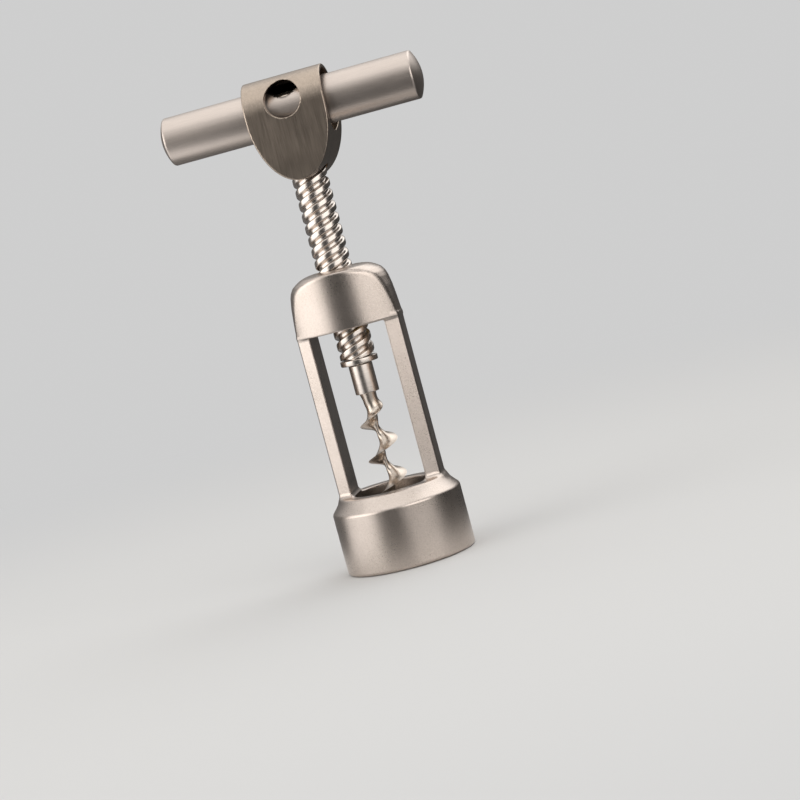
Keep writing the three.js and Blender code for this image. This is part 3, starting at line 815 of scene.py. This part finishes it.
class CORKSCREW_OT_casting(bpy.types.Operator):
    """Make the casting: bell, legs and bridge in one blasted piece"""

    bl_idname = "corkscrew.casting"
    bl_label = "Casting"

    def execute(self, context):
        s = context.scene.corkscrew_frame
        screw = context.scene.corkscrew_screw
        drop = s.bell_height - s.skirt_height
        run = s.bell_radius - s.shoulder_radius
        slant = math.hypot(run, drop)
        seat_narrowing = s.seat_radius - s.throat_radius
        seat_slant = math.hypot(s.seat_height, seat_narrowing)
        face_centre = s.bridge_face_radius - s.bridge_depth / 2
        taper = math.atan2(s.leg_inner_depth - s.leg_outer_depth, 2 * (s.leg_outer - s.leg_inner))
        bore = screw.thread_radius + CLEARANCE

        def shape(x, y, z):
            radius = np.hypot(x, y)
            slope = ((radius - s.bell_radius) * drop + (z - s.skirt_height) * run) / slant
            hollow = np.clip((z - s.skirt_height) / drop, 0, 1)
            slope = slope + SHOULDER_HOLLOW * np.sin(math.pi * hollow)
            bell = both(radius - s.bell_radius, slope, SHOULDER_EDGE)
            bell = both(bell, z - s.bell_height, UPPER_RIM_EDGE)
            bell = both(bell, -z, LOWER_RIM_EDGE)
            side = np.abs(x)
            sloped = (
                (np.abs(y) - s.leg_inner_depth / 2) * math.cos(taper)
                + (side - s.leg_inner) * math.sin(taper)
            )
            leg = both(both(s.leg_inner - side, side - s.leg_outer, s.edge), sloped, s.edge)
            leg = both(leg, both(s.skirt_height - z, z - BRIDGE_BASE - OVERRUN))
            arch = level_dome(
                x, y, z, BRIDGE_BASE, s.bridge_height, s.bridge_width / 2, BRIDGE_SHARES
            )
            arch = both(arch, z - BRIDGE_BASE - s.bridge_height, BRIDGE_TOP_EDGE)
            faces = both(np.hypot(x, y - face_centre), np.hypot(x, y + face_centre))
            bridge = both(arch, faces - s.bridge_face_radius, s.edge)
            bridge = both(bridge, BRIDGE_BASE - z, s.edge)
            casting = either(either(bell, leg, s.foot_fillet), bridge, BRIDGE_FILLET)
            mouth = both(radius - s.mouth_radius, z - s.mouth_depth)
            cone = (radius - s.seat_radius) * s.seat_height + (z - s.mouth_depth) * seat_narrowing
            seat = both(cone / seat_slant, s.mouth_depth - OVERRUN - z)
            throat = both(radius - s.throat_radius, z - s.bell_height)
            casting = without(casting, either(either(throat, mouth), seat), CAVITY_EDGE)
            under = BRIDGE_BASE - BUSH_SEAT_OVERRUN - z
            hole = both(radius - bore, under)
            bush = both(radius - bore - BUSH_SEAT_WALL, z - BRIDGE_BASE - BUSH_SEAT_LENGTH)
            return without(casting, either(hole, both(bush, under)), BUSH_SEAT_EDGE)

        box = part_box("bell_frame")
        piece = meshed("bell_frame_casting", "satin_nickel_blasted", shape, *box, CASTING_CELL)
        rides(piece, "frame", "bell_frame")
        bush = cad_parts["thread_bush"]
        bush.data.materials.clear()
        bush.data.materials.append(finish_of("brass_bush"))
        return {"FINISHED"}


class CORKSCREW_OT_spindle(bpy.types.Operator):
    """Make the spindle: its thread, its neck and the journal in the handle bar"""

    bl_idname = "corkscrew.spindle"
    bl_label = "Spindle"

    def execute(self, context):
        s = context.scene.corkscrew_screw
        values = {
            "Base": s.thread_base, "Top": s.thread_top, "Starts": float(s.starts),
            "Radius": s.thread_radius, "Depth": s.thread_depth, "Lead": s.lead,
            "Phase": s.thread_phase,
        }
        piece = made_by(thread, "spindle_thread", "nickel_plated", values)
        rides(piece, "spindle", "spindle")
        neck_top = s.thread_base + NECK_OVERLAP
        neck = turned("spindle_neck", "nickel_plated", eased([
            (NECK_BORE_RADIUS, RING_BASE, 0), (s.neck_radius, RING_BASE, NECK_EDGE),
            (s.neck_radius, neck_top, 0), (NECK_BORE_RADIUS, neck_top, 0),
        ]))
        rides(neck, "spindle", "spindle")
        journal_base = s.thread_top - OVERRUN
        dome = [
            (s.journal_radius * math.cos(a), s.journal_top - s.journal_dome * (1 - math.sin(a)))
            for a in np.linspace(0, math.pi / 2, DOME_POINTS)
        ]
        journal = turned("spindle_journal", "nickel_worm", [
            (0, journal_base), (s.journal_radius, journal_base), *dome,
        ])
        rides(journal, "spindle", "spindle")
        return {"FINISHED"}


class CORKSCREW_OT_stop_ring(bpy.types.Operator):
    """Make the stop ring, loose on the spindle's neck"""

    bl_idname = "corkscrew.stop_ring"
    bl_label = "Stop ring"

    def execute(self, context):
        s = context.scene.corkscrew_screw
        bore = s.neck_radius + CLEARANCE
        ring = turned("stop_ring_turned", "nickel_plated", eased([
            (bore, RING_BASE, RING_BORE_EDGE), (s.ring_radius, RING_BASE, RING_EDGE),
            (s.ring_radius, RING_TOP, RING_EDGE), (bore, RING_TOP, RING_BORE_EDGE),
        ]))
        rides(ring, "stop_ring", "stop_ring")
        return {"FINISHED"}


class CORKSCREW_OT_worm(bpy.types.Operator):
    """Make the worm: a shank and a twisted blade with a sharp point"""

    bl_idname = "corkscrew.worm"
    bl_label = "Worm"

    def execute(self, context):
        s = context.scene.corkscrew_screw
        shank_top = RING_BASE - CLEARANCE
        shank_base = shank_top - s.shank_length
        spigot_top = shank_top + SPIGOT_LENGTH
        values = {
            "Point": WORM_POINT, "Shank": shank_base, "Runout": s.worm_runout,
            "Taper": s.worm_taper, "Neck": s.worm_neck, "Radius": s.worm_radius,
            "Overlap": s.worm_overlap, "Width": s.worm_width, "Lean": s.worm_lean, "Lead": s.lead,
            "Phase": s.worm_phase,
        }
        piece = made_by(blade, "worm_blade", "nickel_worm", values)
        rides(piece, "spindle", "worm")
        shank = turned("worm_shank", "nickel_lathe_cut", eased([
            (0, shank_base, 0), (s.shank_radius, shank_base, SHANK_EDGE),
            (s.shank_radius, shank_top, SHANK_TOP_EDGE), (SPIGOT_RADIUS, shank_top, 0),
            (SPIGOT_RADIUS, spigot_top, 0), (0, spigot_top, 0),
        ]))
        rides(shank, "spindle", "worm")
        return {"FINISHED"}


class CORKSCREW_OT_hub(bpy.types.Operator):
    """Make the hub: a tube over a shield-shaped boss, with a round window"""

    bl_idname = "corkscrew.hub"
    bl_label = "Hub"

    def execute(self, context):
        s = context.scene.corkscrew_handle
        half = s.hub_length / 2
        drop = BAR_AXIS - HUB_BASE - s.shield_start

        def shape(x, y, z):
            rise = z - BAR_AXIS
            radial = np.hypot(y, rise)
            tube = np.where(rise > 0, radial, np.abs(y)) - s.tube_radius
            front = level_ellipse(x, np.minimum(rise + s.shield_start, 0), half, drop)
            body = both(tube, front, s.hub_edge)
            collars = both(radial - s.collar_radius, half - s.collar_depth - np.abs(x))
            bores = either(radial - s.bar_radius - s.bar_gap, collars)
            window = both(np.hypot(x, rise - s.window_rise) - s.window_radius, y)
            journal = both(np.hypot(x, y) - s.cross_bore, rise)
            return without(body, either(either(bores, window), journal), HUB_OPENING_EDGE)

        piece = meshed("hub_brushed", "nickel_brushed", shape, *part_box("hub"), HUB_CELL)
        rides(piece, "spindle", "hub")
        return {"FINISHED"}


class CORKSCREW_OT_handle_bar(bpy.types.Operator):
    """Make the handle bar, with low domed ends and the cross bore for the journal"""

    bl_idname = "corkscrew.handle_bar"
    bl_label = "Handle bar"

    def execute(self, context):
        s = context.scene.corkscrew_handle
        half = s.bar_length / 2

        def shape(x, y, z):
            rise = z - BAR_AXIS
            radial = np.hypot(y, rise)
            end = np.abs(x) - half + s.bar_dome * np.clip(radial / s.bar_radius, 0, 1) ** 2
            bar = both(radial - s.bar_radius, end, s.bar_edge)
            return without(bar, np.hypot(x, y) - s.cross_bore, CROSS_BORE_EDGE)

        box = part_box("handle_bar")
        piece = meshed("handle_bar_turned", "nickel_bar_satin", shape, *box, BAR_CELL)
        rides(piece, "spindle", "handle_bar")
        return {"FINISHED"}


# ---- Stage ----


def at_azimuth(azimuth, distance, height):
    """A place at an azimuth in degrees from the front, positive to the right."""
    a = math.radians(azimuth)
    return distance * math.sin(a), -distance * math.cos(a), height


# Lamps, aimed at the middle of the tool: place, width and height, watts and tint
LAMP_AIM = (0, 0, 0.075)
LAMPS = {
    "left_box": (at_azimuth(-61, 0.83, 0.22), (1.12, 0.9), 3.3, (1, 0.975, 0.945)),
    "right_box": (at_azimuth(47, 0.85, 0.22), (0.85, 0.7), 2.7, (1, 0.98, 0.96)),
    "top_box": ((-0.05, -0.1, 0.95), (1.25, 1.1), 2.1, (1, 0.99, 0.97)),
}

# Studio round the lamps, as metal mirrors it: levels, and the parts of a direction between which
# they come in. It is brighter behind the tool and falls off to the right, and it has a ceiling and
# soft glows, each with an azimuth and a rise in degrees, and a level.
BACK_LEVEL, BACK_GAIN, BACK_EDGES = 0.1, 0.1, (0.1, 0.9)
SIDE_LEVEL, SIDE_LOSS, SIDE_EDGES = 1.35, 0.85, (-0.7, 0.35)
CEILING_LEVEL, CEILING_EDGES = 1.15, (0.2, 0.7)
GLOWS = [(-61, 0, 1.6), (47, 0, 0.5), (138, 43, 1.6)]
GLOW_EDGES = (0.76, 0.96)

# Floor: radii of its rings, its height, just clear of the rim, and the distances over which it
# turns into the backdrop, as the camera sees it and as metal mirrors it
FLOOR_RADII = (6.0, 2.5, 1.0, 0.5, 0.2, 0.0)
FLOOR_HEIGHT = -0.05 * MM
SEEN_EDGES = (0.1, 0.55)
MIRRORED_EDGES = (0.022, 0.09)

# Width of the camera's sensor in millimetres
SENSOR = 36


def ray_kinds(tree):
    """Whether a ray comes from the camera, left a mirror or went through glass."""
    rays = tree.node("ShaderNodeLightPath").socket.node.outputs
    return [Wire(tree, rays[f"Is {kind} Ray"]) for kind in ("Camera", "Glossy", "Transmission")]


def studio_level(tree, x, y, z):
    """How bright the studio is in a direction. A z that is no wire is level and sees no ceiling."""
    behind = BACK_LEVEL + BACK_GAIN * ramp(tree, y, *BACK_EDGES)
    level = behind * (SIDE_LEVEL - SIDE_LOSS * ramp(tree, x, *SIDE_EDGES))
    for azimuth, rise, glow in GLOWS:
        a = math.radians(rise)
        across, ahead, up = at_azimuth(azimuth, math.cos(a), math.sin(a))
        level = level + glow * ramp(tree, x * across + y * ahead + z * up, *GLOW_EDGES)
    if isinstance(z, Wire):
        level = level + CEILING_LEVEL * ramp(tree, z, *CEILING_EDGES)
    return level


class CORKSCREW_OT_stage(bpy.types.Operator):
    """Make the floor, the backdrop, the lamps and the camera"""

    bl_idname = "corkscrew.stage"
    bl_label = "Stage"

    def execute(self, context):
        s = context.scene.corkscrew_stage
        self.camera(context, s)
        self.floor(s)
        self.sky(context, s)
        for name, (place, size, power, tint) in LAMPS.items():
            light = bpy.data.lights.new(name, "AREA")
            light.shape = "RECTANGLE"
            light.size, light.size_y = size
            light.energy = power
            light.color = tint
            lamp = linked(name, light)
            lamp.location = place
            way = Vector(LAMP_AIM) - Vector(place)
            lamp.rotation_euler = way.to_track_quat("-Z", "Y").to_euler()
        context.scene.view_settings.view_transform = "Standard"
        return {"FINISHED"}

    def camera(self, context, s):
        a, e, roll = s.camera_azimuth, s.camera_elevation, s.camera_roll
        forward = Vector((-math.sin(a) * math.cos(e), math.cos(a) * math.cos(e), -math.sin(e)))
        right = Vector((math.cos(a), math.sin(a), 0))
        up = right.cross(forward)
        aim = Vector((0, 0, s.aim_height)) + s.camera_side * right + s.camera_rise * up
        place = aim - s.camera_distance * forward
        across = right * math.cos(roll) - up * math.sin(roll)
        upward = right * math.sin(roll) + up * math.cos(roll)
        data = bpy.data.cameras.new("camera")
        data.sensor_width = SENSOR
        data.sensor_fit = "HORIZONTAL"
        data.lens = SENSOR * s.focal_share
        data.clip_start = 0.01
        camera = linked("camera", data)
        turn = Matrix((across, upward, -forward)).transposed().to_4x4()
        camera.matrix_world = Matrix.Translation(place) @ turn
        context.scene.camera = camera

    def floor(self, s):
        rings = [(radius, FLOOR_HEIGHT) for radius in FLOOR_RADII]
        points, faces = wound(rings, 96, closed=False)
        mesh = bpy.data.meshes.new("floor")
        mesh.from_pydata(points, [], faces)
        merged(mesh)
        floor = linked("floor", mesh)
        material = bpy.data.materials.new("floor_paper")
        tree = bare_tree(material)
        place = tree.node("ShaderNodeTexCoord", out=3)
        darker = [v * 0.98 for v in s.floor_colour]
        tint = mixed(tree, noise(tree, place, 0.4), (*s.floor_colour, 1), (*darker, 1))
        paper = tree.node("ShaderNodeBsdfPrincipled", Base_Color=tint, Roughness=0.9)
        away = tree.node("ShaderNodeVectorMath", {"operation": "LENGTH"}, out=1, i0=place)
        seen, glossy, through = ray_kinds(tree)
        mirrored = tree.maths("MAXIMUM", glossy, through)
        x, y, _ = places(tree, place)
        level = studio_level(tree, x / away, y / away, 0.0)
        swept = tree.maths(
            "MAXIMUM",
            seen * ramp(tree, away, *SEEN_EDGES), mirrored * ramp(tree, away, *MIRRORED_EDGES),
        )
        strength = seen + mirrored * level
        sweep = tree.node("ShaderNodeEmission", Color=(*s.backdrop, 1), Strength=strength)
        shader = tree.node("ShaderNodeMixShader", Fac=swept, i1=paper, i2=sweep)
        tree.node("ShaderNodeOutputMaterial", Surface=shader)
        material.cycles.emission_sampling = "NONE"
        mesh.materials.append(material)

    def sky(self, context, s):
        world = bpy.data.worlds.new("studio")
        tree = bare_tree(world)
        seen, *_ = ray_kinds(tree)
        direction = tree.node("ShaderNodeTexCoord", out=0)
        strength = seen + (1 - seen) * studio_level(tree, *places(tree, direction))
        shader = tree.node("ShaderNodeBackground", Color=(*s.backdrop, 1), Strength=strength)
        tree.node("ShaderNodeOutputWorld", Surface=shader)
        context.scene.world = world


class CORKSCREW_PT_panel(bpy.types.Panel):
    """The corkscrew's sizes, colours and pieces"""

    bl_idname = "CORKSCREW_PT_panel"
    bl_label = "Bell corkscrew"
    bl_space_type = "VIEW_3D"
    bl_region_type = "UI"
    bl_category = "Corkscrew"

    def draw(self, context):
        for operator in OPERATORS:
            self.layout.operator(operator.bl_idname)
        for group in GROUPS:
            box = self.layout.box()
            settings = getattr(context.scene, group)
            for name in type(settings).__annotations__:
                box.prop(settings, name)


OPERATORS = [
    CORKSCREW_OT_stage,
    CORKSCREW_OT_casting,
    CORKSCREW_OT_spindle,
    CORKSCREW_OT_stop_ring,
    CORKSCREW_OT_worm,
    CORKSCREW_OT_hub,
    CORKSCREW_OT_handle_bar,
]


CLASSES = [*GROUPS.values(), *OPERATORS, CORKSCREW_PT_panel]


def register():
    for cls in CLASSES:
        bpy.utils.register_class(cls)
    for name, group in GROUPS.items():
        setattr(bpy.types.Scene, name, bpy.props.PointerProperty(type=group))


def unregister():
    for name in GROUPS:
        delattr(bpy.types.Scene, name)
    for cls in reversed(CLASSES):
        bpy.utils.unregister_class(cls)


def main():
    register()
    bpy.ops.corkscrew.stage()
    bpy.ops.corkscrew.casting()
    bpy.ops.corkscrew.spindle()
    bpy.ops.corkscrew.stop_ring()
    bpy.ops.corkscrew.worm()
    bpy.ops.corkscrew.hub()
    bpy.ops.corkscrew.handle_bar()


if __name__ == "__main__":
    main()
